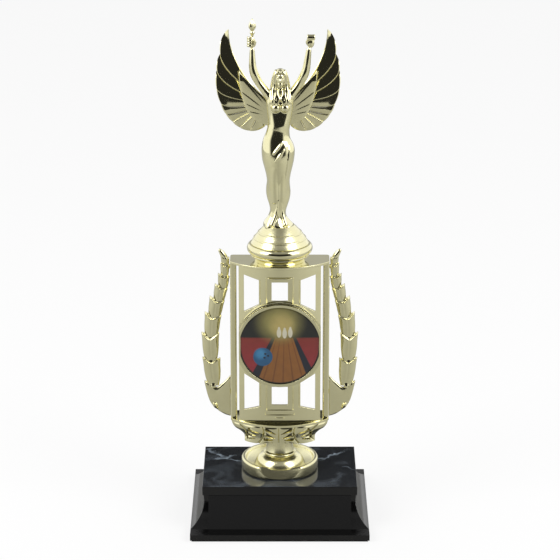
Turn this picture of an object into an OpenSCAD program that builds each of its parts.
// Bowling trophy: a weighted base, a bell foot, an open riser with wreath arms
// and a round insert, a collar and a winged figure, bolted together on one axis.
// Millimetres, +Z up, front towards -Y, origin on the table under the bolt axis.

/* [Base] */
// Overall width of the base at its flange
base_w = 113; // [100:1:140]
// Overall depth of the base at its flange
base_d = 108; // [96:1:130]
// Height of the flange above the felt
flange_h = 3.7; // [2.5:0.1:6]
// Width of the top slab
slab_w = 98.2; // [86:0.2:99]
// Depth of the top slab
slab_d = 67.2; // [60:0.2:76]
// Height of the band round the top slab
band_h = 5.5; // [4:0.1:8]
// How far the band overhangs the coves
band_lip = 0.6; // [0.3:0.1:1.2]
// Height of the concave coves
cove_h = 18.6; // [14:0.2:26]
// How far the front and back coves spread outwards
cove_run = 11.8; // [8:0.2:14]
// Hollow depth of the coves, from chord to arc
cove_sag = 3.4; // [2:0.1:4]
// Width of the flat landing panel on the front
landing_w = 90.4; // [60:0.2:91]
// Wall of the moulded base shell
shell_wall = 2; // [1.6:0.1:2.4]
// Thickness of the felt pad
felt_t = 1; // [0.8:0.1:2]
// How far the felt stays inside the flange
felt_inset = 1; // [0.5:0.1:3]
// Thickness of the marble-pattern foil
foil_t = 0.5; // [0.4:0.1:0.8]
// Height of the weight block
weight_h = 19; // [10:0.5:20]

/* [Foot] */
// Radius of the foot's rim
foot_r = 24.6; // [22:0.2:28]
// Height of the rim's upright wall
foot_rim_h = 4.9; // [4:0.1:7]
// Radius of the foot's neck
neck_r = 9; // [7.5:0.1:11]
// Radius of the bell at its top bead
bell_top_r = 11; // [9.5:0.1:12]
// Height of the bell, up to the start of the neck
foot_bell_h = 15.2; // [12:0.2:20]
// Overall height of the foot
foot_h = 20; // [18:0.1:24]

/* [Riser] */
// Width of the riser's plates
riser_w = 62.6; // [60:0.2:70]
// Straight depth of the plates, from the back to the front corners
riser_side_d = 14.4; // [12:0.2:18]
// Bow of the plates' front edge
riser_bow = 14; // [10:0.2:16]
// Distance from the bolt axis to the plates' back edge
riser_back = 10.4; // [9:0.2:14]
// Thickness of both plates
plate_t = 1.5; // [1.2:0.1:2]
// Clear height between the two plates
riser_h = 103.8; // [98:0.2:120]
// Thickness of the side walls
side_wall = 3.9; // [3.4:0.1:5]
// Slit between a side wall and the front panel
slit_w = 1.6; // [1:0.1:3]
// Radius of the front panel's bow
panel_r = 68; // [60:1:120]
// Thickness of the front panel
panel_t = 2.2; // [1.8:0.1:2.6]
// How far the panel stands back from the plates' front edge
panel_setback = 5; // [4:0.1:5.4]
// Length of the hanging skirt
skirt_h = 12.7; // [9:0.1:14]
// How far the skirt's sides draw in below the plate
skirt_in = 8.8; // [6:0.2:10]
// Straight depth of the skirt's sides at its lower edge
skirt_side_d = 16.4; // [13:0.2:18]
// Bow of the skirt's lower edge
skirt_bow = 6.5; // [3:0.1:9]
// Wall of the skirt
skirt_wall = 1.8; // [1.4:0.1:2.4]

/* [Insert] */
// Diameter of the round insert
insert_d = 50.8; // [48:0.1:50.8]
// Thickness of the insert
insert_t = 1.4; // [1:0.1:2]
// Thickness of the adhesive pad behind it
tape_t = 0.5; // [0.3:0.1:1]
// Width of the lip round the insert
lip_w = 1.7; // [1.2:0.1:2.2]
// How far the lip stands proud of the insert
lip_proud = 0.5; // [0.3:0.1:1]
// Height of the insert's centre above the riser floor
insert_up = 53; // [50:0.5:56]

/* [Wreath] */
// How far the wreath's centre line bulges past the riser
wreath_out = 12.8; // [10:0.2:16]
// Number of leaf pairs on each arm
leaf_pairs = 8; // [5:1:9]
// Half width of the largest leaf pair
leaf_w = 6; // [5:0.1:7]
// Depth of the wreath arm, front to back
wreath_d = 5.6; // [4:0.1:7]
// Diameter of the pegs that plug into the side walls
wreath_peg_d = 2.4; // [2:0.1:2.8]

/* [Collar and figure] */
// Radius of the collar's bead
bead_r = 20.6; // [19:0.1:24]
// Radius of the collar's neck
collar_neck_r = 15.2; // [14:0.1:15.4]
// Height of the collar
collar_h = 10.9; // [10:0.1:14]
// Radius of the dome at its foot
dome_r = 18.2; // [17:0.1:18.6]
// Height of the dome
dome_h = 12.1; // [10:0.1:16]
// Height of the figure, from the dome to the torch's flame
figure_h = 131; // [110:1:160]

/* [Fasteners] */
// Thread diameter of the bolt and the stud
thread_d = 5; // [4:0.5:6]
// Clearance round the bolt, all on the diameter
bolt_play = 0.5; // [0.2:0.1:0.8]
// Width of the nuts and the bolt head across the flats
nut_af = 8; // [7:0.5:10]
// Height of the nuts
nut_h = 4; // [3:0.5:5]
// Height of the bolt's head
head_h = 3.5; // [2.5:0.5:3.5]
// Outer diameter of the washers
washer_d = 11; // [10.5:0.5:14]
// Thickness of the washers
washer_t = 1; // [0.8:0.1:1.4]

/* [Hidden] */

$fn = 96;
eps = 0.01;

// Small clearances between pieces
seat_gap = 0.1;
press_gap = 0.05;

// Colours
black = "#1c1c1c";
gold = "#c9c38f";
steel = "#b9bcc0";

// Heights of the seats, from the table up
shell_z = felt_t;
slab_top_z = shell_z + flange_h + cove_h + band_h;
foil_z = slab_top_z + foil_t;
foot_top_z = foil_z + foot_h;
boss_h = skirt_h + 0.7;
floor_under_z = foot_top_z + boss_h;
floor_z = floor_under_z + plate_t;
plate_under_z = floor_z + riser_h;
plate_z = plate_under_z + plate_t;
collar_z = plate_z + collar_h;
dome_z = collar_z + dome_h;
insert_z = floor_z + insert_up;

// Holes along the bolt axis
bolt_hole_d = thread_d + bolt_play;

// Riser plan
riser_hw = riser_w / 2;
riser_corner = riser_back - riser_side_d;
riser_front = riser_corner - riser_bow;
back_corner_r = 2;
panel_hw = riser_hw - side_wall - slit_w;
panel_front = riser_front + panel_setback;

// Insert seat, cut into the front panel
seat_face_y = panel_front - 0.6;
insert_back_y = seat_face_y - tape_t;
insert_front_y = insert_back_y - insert_t;
lip_front_y = insert_front_y - lip_proud;
lip_in_r = insert_d / 2 + seat_gap;
lip_out_r = lip_in_r + lip_w;
seat_r = lip_out_r + 1.1;

// Turned boss under the top plate, which the figure's nut bears on
top_boss_h = 3;
top_boss_r = 8;

// Figure: sculpted in its own units, then sized by its height
figure_units = 131;
figure_k = figure_h / figure_units;

// ---------- shared shapes ----------

// Points of a circular arc from p to q that bulges to the left by sag
function arc_points(p, q, sag, n = 10) =
    let (chord = q - p, len = norm(chord),
         left = [-chord[1], chord[0]] / len,
         r = (len * len / 4 + sag * sag) / (2 * abs(sag)),
         centre = (p + q) / 2 - sign(sag) * (r - abs(sag)) * left,
         a = atan2(p[1] - centre[1], p[0] - centre[0]),
         b = atan2(q[1] - centre[1], q[0] - centre[0]),
         turn = b - a > 180 ? b - a - 360 : b - a < -180 ? b - a + 360 : b - a)
    [for (i = [0 : n]) centre + r * [cos(a + turn * i / n), sin(a + turn * i / n)]];

// Smooth step from 0 to 1
function ease(t) = let (u = min(max(t, 0), 1)) u * u * (3 - 2 * u);

// A profile in x and z, pushed along y from y0 to y1
module along_y(y0, y1) {
    translate([0, y1, 0]) rotate([90, 0, 0]) linear_extrude(y1 - y0) children();
}

// A profile in y and z, pushed along x, centred
module along_x(len) {
    rotate([90, 0, 90]) translate([0, 0, -len / 2]) linear_extrude(len) children();
}

module mirrored() {
    children();
    mirror([1, 0, 0]) children();
}

module hex_prism(af, h) {
    cylinder(d = af / cos(30), h = h, $fn = 6);
}

module ring(outer_d, inner_d, h) {
    difference() {
        cylinder(d = outer_d, h = h);
        translate([0, 0, -1]) cylinder(d = inner_d, h = h + 2);
    }
}

// ---------- base ----------

// Radius of a cove, and the centre of its arc, from its chord and its hollow
function cove_radius(run) = (run * run + cove_h * cove_h) / (8 * cove_sag) + cove_sag / 2;
function cove_centre(foot, run) =
    let (len = norm([run, cove_h]), r = cove_radius(run), out = [cove_h, run] / len)
    [foot - run / 2, flange_h + cove_h / 2] + out * (r - cove_sag);

// Half section of the base: flange, cove and band, or the hollow inside by a wall
module base_section(flange, foot, run, band, wall) {
    neck = foot - run;
    low = flange_h - wall;
    top = flange_h + cove_h;
    mirrored() {
        translate([-eps, wall > 0 ? -1 : 0])
            square([flange - wall + eps, low + (wall > 0 ? 1 : 0)]);
        difference() {
            polygon([[-eps, low - eps], [foot - wall, low - eps], [neck - wall, top], [-eps, top]]);
            translate(cove_centre(foot, run)) circle(cove_radius(run) + wall);
        }
        translate([-eps, top - eps])
            square([(wall > 0 ? neck - wall : band) + eps, band_h - wall + eps]);
    }
}

module base_form(wall) {
    front_run = cove_run;
    front_foot = slab_d / 2 - band_lip + front_run;
    side_foot = base_w / 2;
    side_run = side_foot - slab_w / 2 + band_lip;
    intersection() {
        along_x(base_w + 2) base_section(base_d / 2, front_foot, front_run, slab_d / 2, wall);
        along_y(-base_d, base_d) base_section(base_w / 2, side_foot, side_run, slab_w / 2, wall);
    }
}

// Flat panel across the front cove, where a plate is stuck
module landing_panel() {
    neck = slab_d / 2 - band_lip;
    along_x(landing_w) polygon([
        [-neck + cove_sag + shell_wall, flange_h - shell_wall],
        [-neck - cove_run, flange_h - eps],
        [-neck, flange_h + cove_h],
        [-neck + cove_sag + shell_wall, flange_h + cove_h]]);
}

module base_shell() {
    color(black) translate([0, 0, shell_z]) difference() {
        union() {
            difference() {
                base_form(0);
                base_form(shell_wall);
            }
            landing_panel();
        }
        translate([0, 0, flange_h]) cylinder(d = bolt_hole_d, h = cove_h + band_h);
    }
}

module felt_pad() {
    color("#15181b")
        translate([-base_w / 2 + felt_inset, -base_d / 2 + felt_inset, 0])
            cube([base_w - 2 * felt_inset, base_d - 2 * felt_inset, felt_t]);
}

// Cast block that stands on the felt, with a well for the nut
module base_weight() {
    w = slab_w - 10;
    d = slab_d - 13;
    color("#8d8a83") translate([0, 0, felt_t]) difference() {
        translate([-w / 2, -d / 2, 0]) cube([w, d, weight_h]);
        translate([0, 0, -1]) cylinder(d = washer_d + 5, h = weight_h + 2);
    }
}

module marble_top() {
    color("#33373b") translate([0, 0, slab_top_z]) difference() {
        translate([-slab_w / 2, -slab_d / 2, 0]) cube([slab_w, slab_d, foil_t]);
        translate([0, 0, -1]) cylinder(d = bolt_hole_d, h = foil_t + 2);
    }
}

// ---------- bolt through base, foot and riser floor ----------

top_wall_under_z = slab_top_z - shell_wall;

module base_washer() {
    color(steel) translate([0, 0, top_wall_under_z - washer_t])
        ring(washer_d, bolt_hole_d, washer_t);
}

module base_nut() {
    color(steel) translate([0, 0, top_wall_under_z - washer_t - nut_h]) difference() {
        hex_prism(nut_af, nut_h);
        translate([0, 0, -1]) cylinder(d = thread_d + 2 * press_gap, h = nut_h + 2);
    }
}

module bolt_washer() {
    color(steel) translate([0, 0, floor_z]) ring(washer_d, bolt_hole_d, washer_t);
}

module base_bolt() {
    tip_z = top_wall_under_z - washer_t - nut_h - thread_d / 2;
    head_z = floor_z + washer_t;
    color(steel) {
        translate([0, 0, tip_z]) cylinder(d = thread_d, h = head_z - tip_z + eps);
        translate([0, 0, head_z]) hex_prism(nut_af, head_h);
    }
}

// ---------- foot ----------

// Bell foot: upright rim, rounded lip, hollow flare and a neck that ends below the skirt
module foot() {
    lip = 1.2;
    flare_r = foot_r - 2;
    flare_z = foot_rim_h + lip + 0.2;
    hub_r = neck_r - 1.5;
    cavity_r = foot_r - 5.5;
    flare = arc_points([flare_r, flare_z], [bell_top_r, foot_bell_h], 1.1, 10);
    color(gold) translate([0, 0, foil_z]) difference() {
        rotate_extrude() union() {
            polygon(concat(
                [[0, 0], [foot_r - 1, 0], [foot_r, 1], [foot_r, foot_rim_h]],
                arc_points([foot_r, foot_rim_h], [flare_r, flare_z], -0.5, 5),
                flare,
                [[bell_top_r, foot_bell_h + 0.6], [neck_r - 0.6, foot_bell_h + 1.6],
                 [neck_r - 0.6, foot_h], [0, foot_h]]));
            translate([bell_top_r - 0.3, foot_bell_h + 0.3]) circle(r = 0.7, $fn = 24);
        }
        rotate_extrude() polygon([[hub_r, -1], [cavity_r, -1], [cavity_r, foot_rim_h - 0.6],
            [neck_r + 1.5, foot_bell_h - 4.2], [hub_r, foot_bell_h - 4.2]]);
        translate([0, 0, -1]) cylinder(d = bolt_hole_d, h = foot_h + 2);
        front_facet();
    }
}

// Slanted flat on the front of the rim
module front_facet() {
    translate([0, -foot_r + 0.4, 1]) rotate([55, 0, 0])
        translate([-foot_r, 0, 0]) cube([2 * foot_r, foot_r, foot_r / 2]);
}

// ---------- riser ----------

// D-shaped outline: flat back with rounded corners, straight sides up to the corners, bowed front
module bowed_plan(hw, corner, bow, back, corner_facets = $fn) {
    r = (hw * hw + bow * bow) / (2 * bow);
    front = corner - bow;
    intersection() {
        translate([0, front + r]) circle(r);
        union() {
            translate([-hw, front]) square([2 * hw, back - back_corner_r - front]);
            translate([-hw + back_corner_r, front])
                square([2 * (hw - back_corner_r), back - front]);
            for (side = [-1, 1])
                translate([side * (hw - back_corner_r), back - back_corner_r])
                    circle(back_corner_r, $fn = corner_facets);
        }
    }
}

module riser_plan() {
    bowed_plan(riser_hw, riser_corner, riser_bow, riser_back);
}

// Side of the skirt, as shares of its length and of how far it has drawn in
skirt_curve = [[0, 0.04], [0.3, 0.26], [0.66, 0.97], [1, 1]];
skirt_back = riser_back - 1;
function mix(a, b, t) = a + (b - a) * t;

// Solid inside the skirt's outline, or its hollow by a wall, down to a depth
module skirt_form(wall, depth) {
    for (i = [0 : len(skirt_curve) - 2]) hull()
        for (p = [skirt_curve[i], skirt_curve[i + 1]])
            translate([0, 0, -p[0] * depth - eps]) linear_extrude(eps) bowed_plan(
                riser_hw - p[1] * skirt_in - wall,
                mix(riser_corner, skirt_back - skirt_side_d, p[1]) + wall,
                mix(riser_bow, skirt_bow, p[1]),
                skirt_back - wall, corner_facets = 16);
}

// Floor plate with its hanging skirt and the boss that stands on the foot
module riser_skirt() {
    color(gold) translate([0, 0, floor_under_z]) difference() {
        union() {
            linear_extrude(plate_t) riser_plan();
            difference() {
                skirt_form(0, skirt_h);
                translate([0, 0, -eps]) skirt_form(skirt_wall, skirt_h + 1);
            }
            translate([0, 0, -boss_h]) cylinder(r = neck_r - 0.6, h = boss_h + eps);
        }
        translate([0, 0, -boss_h - 1]) cylinder(d = bolt_hole_d, h = boss_h + plate_t + 2);
    }
}

// Window outlines on one side of the panel, above or below the insert
module panel_windows(up) {
    outer = panel_hw - 3.3;
    post = 8;
    mirrored() scale([1, up]) polygon([
        [-outer, 20.7], [-outer, 45.3], [-post - 5.1, 42.3], [-post - 5.1, 26.1]]);
    half = 5.1;
    translate([-half, up > 0 ? 28.7 : -40.9]) square([2 * half, 12.2]);
}

// Shallow frame stepped into the panel round a centre window
module panel_frame(up) {
    half = 8;
    translate([-half, up > 0 ? 26 : -44.4]) square([2 * half, 18.4]);
}

// Long groove with round ends across the foot of the panel
module panel_groove() {
    groove_r = 0.9;
    groove_hw = 8.5;
    groove_up = 6.2;
    translate([0, floor_z + groove_up]) mirrored() {
        translate([groove_hw, 0]) circle(groove_r, $fn = 16);
        translate([-eps, -groove_r]) square([groove_hw + eps, 2 * groove_r]);
    }
}

module riser_front_panel() {
    frame_depth = 0.9;
    color(gold) difference() {
        union() {
            translate([0, 0, floor_z]) linear_extrude(riser_h) intersection() {
                difference() {
                    translate([0, panel_front + panel_r]) circle(panel_r);
                    translate([0, panel_front + panel_r]) circle(panel_r - panel_t);
                }
                translate([-panel_hw, panel_front - 1]) square([2 * panel_hw, panel_r / 2]);
            }
            insert_seat();
        }
        along_y(panel_front - 1, panel_front + frame_depth) panel_groove();
        for (up = [-1, 1]) {
            translate([0, 0, insert_z]) along_y(panel_front - 10, 0) panel_windows(up);
            translate([0, 0, insert_z]) intersection() {
                along_y(panel_front - 5, panel_front + frame_depth) panel_frame(up);
                along_y(panel_front - 6, 0) difference() {
                    square(200, center = true);
                    circle(seat_r);
                }
            }
        }
    }
}

// Round seat with its lip, flattened to the panel's width, and two edge keepers
module insert_seat() {
    keeper_x = insert_d / 2 - 0.7;
    keeper_h = 16;
    translate([0, 0, insert_z]) {
        intersection() {
            union() {
                along_y(seat_face_y, panel_front + panel_t) circle(seat_r);
                along_y(lip_front_y, seat_face_y + eps) difference() {
                    circle(lip_out_r);
                    circle(lip_in_r);
                }
            }
            cube([2 * panel_hw, 100, 100], center = true);
        }
        for (side = [-1, 1]) {
            translate([side > 0 ? keeper_x : -panel_hw, lip_front_y, -keeper_h / 2])
                cube([panel_hw - keeper_x, insert_front_y - seat_gap - lip_front_y, keeper_h]);
            translate([side > 0 ? lip_in_r : -panel_hw, lip_front_y, -keeper_h / 2])
                cube([panel_hw - lip_in_r, panel_front + panel_t - lip_front_y, keeper_h]);
        }
    }
}

module insert_tape() {
    color("#e8e6e0") translate([0, 0, insert_z])
        along_y(insert_back_y, seat_face_y) circle(insert_d / 2 - 2);
}

module insert_disc() {
    color("#8a5a2b") translate([0, 0, insert_z])
        along_y(insert_front_y, insert_back_y) circle(insert_d / 2);
}

// Heights of the two pegs on each wreath arm, above the riser floor
peg_low = 16;
peg_high = riser_h - 3.6;
peg_y = riser_back - riser_side_d / 2 - 1;
peg_depth = 2.6;

// Side wall: a flat post as deep as the plate's straight side, with two peg sockets
module side_wall_piece() {
    round_r = 1;
    front = riser_corner + 0.5;
    back = riser_back - 0.5;
    difference() {
        translate([riser_hw - side_wall, 0, floor_z]) linear_extrude(riser_h) union() {
            translate([0, front + round_r]) square([side_wall, back - front - 2 * round_r]);
            translate([round_r, front]) square([side_wall - 2 * round_r, back - front]);
            for (x = [round_r, side_wall - round_r], y = [front + round_r, back - round_r])
                translate([x, y]) circle(round_r);
        }
        for (h = [peg_low, peg_high])
            translate([riser_hw - peg_depth - seat_gap, peg_y, floor_z + h])
                rotate([0, 90, 0]) cylinder(d = wreath_peg_d + 2 * seat_gap, h = side_wall);
    }
}

module right_side_wall() {
    color(gold) side_wall_piece();
}

module left_side_wall() {
    color(gold) mirror([1, 0, 0]) side_wall_piece();
}

module riser_top_plate() {
    color(gold) translate([0, 0, plate_under_z]) difference() {
        union() {
            linear_extrude(plate_t) riser_plan();
            translate([0, 0, -top_boss_h]) cylinder(r = top_boss_r, h = top_boss_h + eps);
        }
        translate([0, 0, -top_boss_h - 1])
            cylinder(d = bolt_hole_d, h = top_boss_h + plate_t + 2);
    }
}

// ---------- wreath arms ----------

// Centre line of an arm: out past the riser in the middle, in at the top and the bottom
arm_mid = insert_up + 1;
arm_top = riser_h + 0.2;
arm_top_x = riser_hw + 3;
arm_mid_x = riser_hw + wreath_out;
function arm_x(h) = h > arm_mid
    ? arm_mid_x - (arm_mid_x - arm_top_x) * ease((h - arm_mid) / (arm_top - arm_mid))
    : arm_mid_x - 0.0027 * pow(arm_mid - h, 2);

// How far a leaf's tip reaches from the centre line, as a share of its half width
leaf_reach = 1.07;

// Leaf pairs lengthen from the top of the arm down, each by the same ratio
leaf_ratio = 1.19;
arm_leaf_top = riser_h + 3.6;
arm_leaf_low = 22.8;
function leaf_tip(i) = arm_leaf_top - (arm_leaf_top - arm_leaf_low)
    * (pow(leaf_ratio, i) - 1) / (pow(leaf_ratio, leaf_pairs) - 1);

// The pairs also widen down the arm, as far as the side wall leaves them room
function leaf_half(i) = min(leaf_w * (0.5 + 0.5 * i / (leaf_pairs - 1)),
    (arm_x(leaf_tip(i)) - riser_hw - seat_gap) / leaf_reach);

// Buds are as deep as they are wide, up to the arm's depth at the largest leaf
bud_flat = wreath_d / (1.1 * leaf_w);

module bud(x, h, r) {
    translate([x, peg_y, h]) scale([1, bud_flat, 1]) sphere(r = r, $fn = 10);
}

// A pair of broad leaves that clasps the next pair up; the tips turn up and out of the arm
module leaf_pair(low, high, half) {
    len = high - low;
    foot = low - 0.24 * len;
    for (side = [-1, 1]) hull() {
        bud(arm_x(foot) + side * half * 0.15, foot, half * 0.35);
        bud(arm_x(low + 0.25 * len) + side * half * 0.4, low + 0.25 * len, half * 0.42);
        bud(arm_x(low + 0.58 * len) + side * half * 0.42, low + 0.58 * len, half * 0.48);
        bud(arm_x(high) + side * half * (leaf_reach - 0.09), high, half * 0.09);
    }
}

// Broad acanthus leaf that carries the arm out from the foot of the side wall
module base_leaf() {
    join_x = arm_x(arm_leaf_low);
    tip_x = join_x + leaf_w;
    hull() {
        bud(riser_hw + 1.7, 1.7, 1.6);
        bud(riser_hw + 5.6, 3.4, 1.8);
        bud(riser_hw + 5, arm_leaf_low - 2.6, 2);
        bud(riser_hw + 1.3, arm_leaf_low + 2.6, 1.2);
    }
    hull() {
        bud(riser_hw + 5.6, 3.4, 1.8);
        bud(riser_hw + 10.2, 8, 2.1);
        bud(riser_hw + 5, arm_leaf_low - 2.6, 2);
        bud(join_x, arm_leaf_low - 3, 2.3);
    }
    hull() {
        bud(riser_hw + 10.2, 8, 2.1);
        bud(riser_hw + 12.6, 14, 2.3);
        bud(join_x, arm_leaf_low - 3, 2.3);
        bud(tip_x, arm_leaf_low, 0.6);
    }
}

// Curled bud at the top of an arm, lying against the corner of the plate
module top_curl() {
    hull() {
        bud(arm_top_x, riser_h - 1.5, 2.2);
        bud(arm_top_x + 0.8, riser_h + 2.1, 2);
    }
    hull() {
        bud(arm_top_x + 0.8, riser_h + 2.1, 2);
        bud(arm_top_x + 2.5, riser_h + 5.1, 1.5);
    }
    hull() {
        bud(arm_top_x + 2.5, riser_h + 5.1, 1.5);
        bud(arm_top_x + 4.4, riser_h + 7, 1);
    }
}

module wreath_arm() {
    translate([0, 0, floor_z]) {
        for (i = [0 : leaf_pairs - 1])
            leaf_pair(leaf_tip(i + 1), leaf_tip(i), leaf_half(i));
        base_leaf();
        top_curl();
        for (h = [peg_low, peg_high])
            translate([riser_hw - peg_depth, peg_y, h]) rotate([0, 90, 0])
                cylinder(d = wreath_peg_d, h = peg_depth + 3, $fn = 24);
    }
}

module right_wreath() {
    color(gold) wreath_arm();
}

module left_wreath() {
    color(gold) mirror([1, 0, 0]) wreath_arm();
}

// ---------- collar and dome ----------

// Turned collar: flared neck, band, groove and bead, hollow for the stud
module top_collar() {
    band_r = bead_r - 2.1;
    bead_z = collar_h - 2.8;
    bead_t = 3.3;
    color(gold) translate([0, 0, plate_z]) difference() {
        rotate_extrude() union() {
            polygon(concat(
                [[0, 0], [collar_neck_r + 0.6, 0]],
                arc_points([collar_neck_r + 0.6, 0.2], [band_r, 3.9], 0.9, 8),
                [[band_r, 4.7], [band_r - 0.8, 5.3], [band_r - 0.8, collar_h], [0, collar_h]]));
            translate([bead_r - bead_t, bead_z]) circle(bead_t - eps);
        }
        translate([0, 0, collar_h]) cylinder(r = bead_r + 1, h = bead_t);
        translate([0, 0, -1]) cylinder(d = bolt_hole_d, h = collar_h + 2);
    }
}

// Stepped dome under the figure, open underneath, with a boss round the stud
module figure_dome() {
    wall = 1.8;
    top_r = 9;
    step = 0.35;
    boss_r = thread_d / 2 + 2.5;
    outline = arc_points([dome_r, 0.6], [top_r, dome_h], -0.6, 6);
    color(gold) translate([0, 0, collar_z]) difference() {
        union() {
            rotate_extrude() polygon(concat(
                [[0, 0], [dome_r - 0.5, 0]], outline, [[0, dome_h]]));
            translate([0, 0, 0.32 * dome_h]) cylinder(r = 0.842 * dome_r + step, h = 0.6);
            translate([0, 0, 0.6 * dome_h]) cylinder(r = 0.70 * dome_r + step, h = 0.6);
        }
        rotate_extrude() polygon([[boss_r, -1], [dome_r - wall - 0.5, -1],
            [dome_r - wall - 0.5, 0], [top_r, dome_h - wall - 1.2], [boss_r, dome_h - wall - 1.2]]);
        translate([0, 0, -1]) cylinder(d = thread_d + 2 * press_gap, h = dome_h - 1);
    }
}

module figure_washer() {
    color(steel) translate([0, 0, plate_under_z - top_boss_h - washer_t])
        ring(washer_d, bolt_hole_d, washer_t);
}

module figure_nut() {
    color(steel) translate([0, 0, plate_under_z - top_boss_h - washer_t - nut_h]) difference() {
        hex_prism(nut_af, nut_h);
        translate([0, 0, -1]) cylinder(d = thread_d + 2 * press_gap, h = nut_h + 2);
    }
}

module figure_stud() {
    low = plate_under_z - top_boss_h - washer_t - nut_h - thread_d / 2;
    color(steel) translate([0, 0, low]) cylinder(d = thread_d, h = collar_z + dome_h - 2.2 - low);
}

// ---------- figure ----------

// Gown and torso, as [height, centre x, centre y, half width, half depth]
gown = [
    [0, -1, 0, 9.2, 8.2], [2, -1.5, 0, 7.9, 7], [5.4, -1.6, 0, 5.7, 5.2],
    [9.3, -1.1, 0, 5, 4.8], [13.2, -0.8, 0, 5.8, 5], [17.1, -0.8, 0.3, 7, 5.5],
    [21, -0.9, 0.6, 7.6, 5.9], [24.9, -1, 0.2, 7.4, 5.8], [28.7, -0.9, -0.4, 7.1, 5.8],
    [32.6, -0.9, -0.2, 7.6, 6.2], [36.4, -0.9, 0, 8.5, 6.8], [42, -1, 0.6, 9.8, 7.8],
    [48, -1, 1, 10.3, 8.2], [51.8, -1.3, 0.8, 9.7, 7.6], [55.6, -1.8, 0.3, 8.3, 6.4],
    [60.5, -1.1, 0, 7.1, 5.2]];
torso = [
    [60.5, -1.1, 0, 7.1, 5.2], [65, -0.4, -0.3, 6.8, 5.2], [70, -0.1, -0.8, 7.4, 5.8],
    [74, 0, -1.2, 8, 6.4], [78, 0, -0.6, 8.2, 5.8], [82, 0, 0.2, 8.3, 4.6],
    [85, 0, 0.3, 7.2, 3.6], [87.5, 0, 0.3, 3.4, 3], [91, 0, 0, 2.6, 2.6]];

module section(s) {
    translate([s[1], s[2], s[0]]) scale([s[3], s[4], 1]) cylinder(r = 1, h = eps, $fn = 24);
}

module loft(sections) {
    for (i = [0 : len(sections) - 2]) hull() {
        section(sections[i]);
        section(sections[i + 1]);
    }
}

// A limb through points given as [x, y, z, radius]
module limb(points, facets = 12) {
    for (i = [0 : len(points) - 2]) hull()
        for (p = [points[i], points[i + 1]])
            translate([p[0], p[1], p[2]]) sphere(r = p[3], $fn = facets);
}

module ellipsoid(centre, radii, facets = 20) {
    translate(centre) scale(radii) sphere(r = 1, $fn = facets);
}

module torch() {
    translate([-17.4, 0.4, 0]) {
        limb([[0, 0, 112, 1], [0, 0, 121.6, 0.9]]);
        translate([0, 0, 121.4]) cylinder(r1 = 1, r2 = 2.1, h = 2.4, $fn = 16);
        translate([0, 0, 123.8]) cylinder(r1 = 1.5, r2 = 2.2, h = 2.4, $fn = 16);
        translate([0, 0, 126.2]) cylinder(r1 = 2.2, r2 = 0.2, h = 4.8, $fn = 16);
    }
}

module figure_body() {
    color(gold) translate([0, 0, dome_z]) scale(figure_k) {
        loft(gown);
        loft(torso);
        ellipsoid([-0.2, -0.4, 93.2], [4.1, 4.9, 6.2]);
        ellipsoid([-0.2, 0.6, 93.6], [5.3, 5.2, 6]);
        for (side = [-1, 1])
            limb([[side * 4.4, 0.6, 91, 1.9], [side * 5, -1, 84, 2], [side * 4.4, -3.6, 77, 1.4]]);
        limb([[-6.6, 0.4, 82.6, 3], [-12.6, 0.8, 90, 2.5], [-16.6, 0.8, 97.2, 2.4],
              [-17.2, 0.6, 105, 2.1], [-17.5, 0.4, 112.4, 1.6]]);
        ellipsoid([-17.8, 0.4, 117], [3, 2.6, 3.8], 16);
        limb([[6.6, 0.4, 82.6, 3], [11.4, 0.8, 89, 2.5], [15.4, 0.8, 97.2, 2.4],
              [16.9, 0.6, 105, 2.1], [17.6, 0.4, 112.4, 1.6]]);
        ellipsoid([18.1, 0.4, 117.4], [2.9, 2.2, 3.8], 16);
        torch();
    }
}

// Upper edges of the feathers from the longest down, as [tip, belly], each point [x, z],
// and how full the feather below that edge is at its end
feather_edges = [
    [[30.3, 122], [30.7, 101.1], 2], [[35.6, 106.4], [34.7, 94.6], 0.9],
    [[37.9, 96.4], [34.2, 85.1], 0.5], [[38.1, 85.8], [36.2, 78.2], 0.5],
    [[35.3, 76], [31.8, 71.7], 0.4], [[32.1, 69.2], [25.6, 68.8], 0.3],
    [[28.1, 64.4], [22.1, 68], 0.3], [[23.4, 60.6], [15.4, 69.7], 0.3],
    [[17.5, 58.6], [11.5, 71.2], 1.2], [[7.8, 61.8], [8, 66.4], 0]];
wing_root = [8.4, 76];
covert_tip = [23.8, 95.6];
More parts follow.
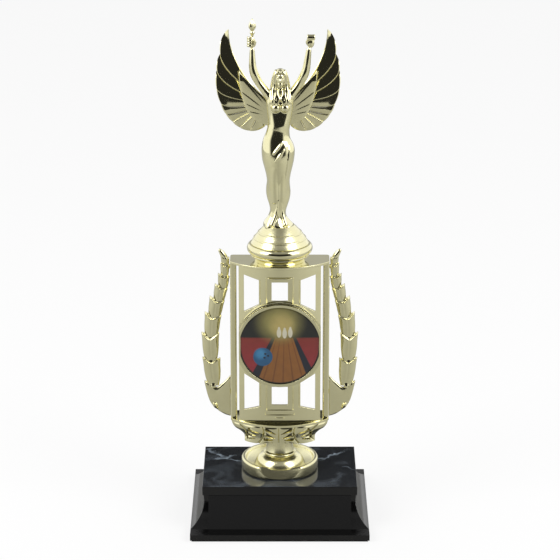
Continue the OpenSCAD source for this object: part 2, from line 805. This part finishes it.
// The wings stand a little to the side of the figure's middle
wing_x = -1.1;
wing_t = 1.3;
feather_step = 0.22;

// Smooth curve from p to q, pulled towards c
function bend(p, c, q, n = 8) =
    [for (i = [0 : n]) let (t = i / n) (1 - t) * (1 - t) * p + 2 * t * (1 - t) * c + t * t * q];

function reversed(list) = [for (i = [len(list) - 1 : -1 : 0]) list[i]];

// A feather edge from its tip in to the root; the roots stand one below the other
function feather_edge(i) = bend(feather_edges[i][0], feather_edges[i][1],
    wing_root + [0, 4 - i]);

// A feather between its own edge and the next one, which it laps by a little
module feather(i) {
    lap = [0, -0.3];
    polygon(concat(
        reversed(feather_edge(i)),
        arc_points(feather_edges[i][0], feather_edges[i + 1][0] + lap, feather_edges[i][2], 4),
        [for (p = feather_edge(i + 1)) p + lap]));
}

// Short covert feathers that lie over the roots of the long ones
module covert() {
    polygon(concat(
        [[0.4, 80], [0.4, 63.5]],
        reversed(bend(covert_tip, [26.5, 68], [6.5, 61.8], 9)),
        bend(covert_tip, [17.4, 87], wing_root + [0, 4], 4)));
}

// One wing, leaning back from the waist, cut to the figure's back with a fine gap for the glue
module wing(side) {
    lean = 4;
    hinge = [wing_x, 6.2, 66];
    translate([0, 0, dome_z]) scale(figure_k) difference() {
        translate(hinge) mirror([side < 0 ? 1 : 0, 0, 0]) rotate([-lean, 0, 0])
                translate([0, 0, -hinge[2]]) {
            for (i = [0 : len(feather_edges) - 2])
                along_y(feather_step * i, feather_step * i + wing_t) feather(i);
            along_y(-wing_t, wing_t / 2) covert();
        }
        loft([for (s = torso) s + [0, 0, 0, seat_gap, seat_gap]]);
    }
}

module right_wing() {
    color(gold) wing(1);
}

module left_wing() {
    color(gold) wing(-1);
}

felt_pad();
base_shell();
base_weight();
marble_top();
base_nut();
base_washer();
base_bolt();
bolt_washer();
foot();
riser_skirt();
riser_front_panel();
left_side_wall();
right_side_wall();
riser_top_plate();
left_wreath();
right_wreath();
insert_tape();
insert_disc();
top_collar();
figure_nut();
figure_washer();
figure_stud();
figure_dome();
figure_body();
left_wing();
right_wing();
